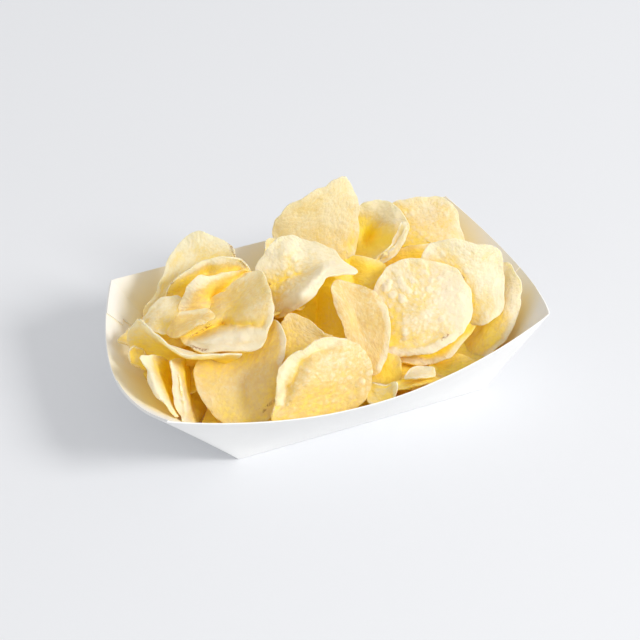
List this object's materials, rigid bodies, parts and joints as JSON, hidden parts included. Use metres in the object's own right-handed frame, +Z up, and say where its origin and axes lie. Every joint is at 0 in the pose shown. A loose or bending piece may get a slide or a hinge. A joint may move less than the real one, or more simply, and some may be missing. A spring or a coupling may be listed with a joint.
{
  "type": "paper tray of potato crisps",
  "caption": "Folded white paper food tray heaped with thin curled potato crisps that stand above its bowed rim.",
  "frame": {"origin": "centre of the tray's flat base, on its underside", "axes": "+X along the tray's length, +Y across it away from the front wall, +Z up"},
  "size_m": [0.2117, 0.1378, 0.0774],
  "materials": {
    "paper": "matte uncoated white board, softly fibrous",
    "crisps": "dry fried potato, pale cream to golden, lightly oily"
  },
  "bodies": {
    "root": {"tray": "paper", "crisps": "crisps"}
  },
  "joints": []
}
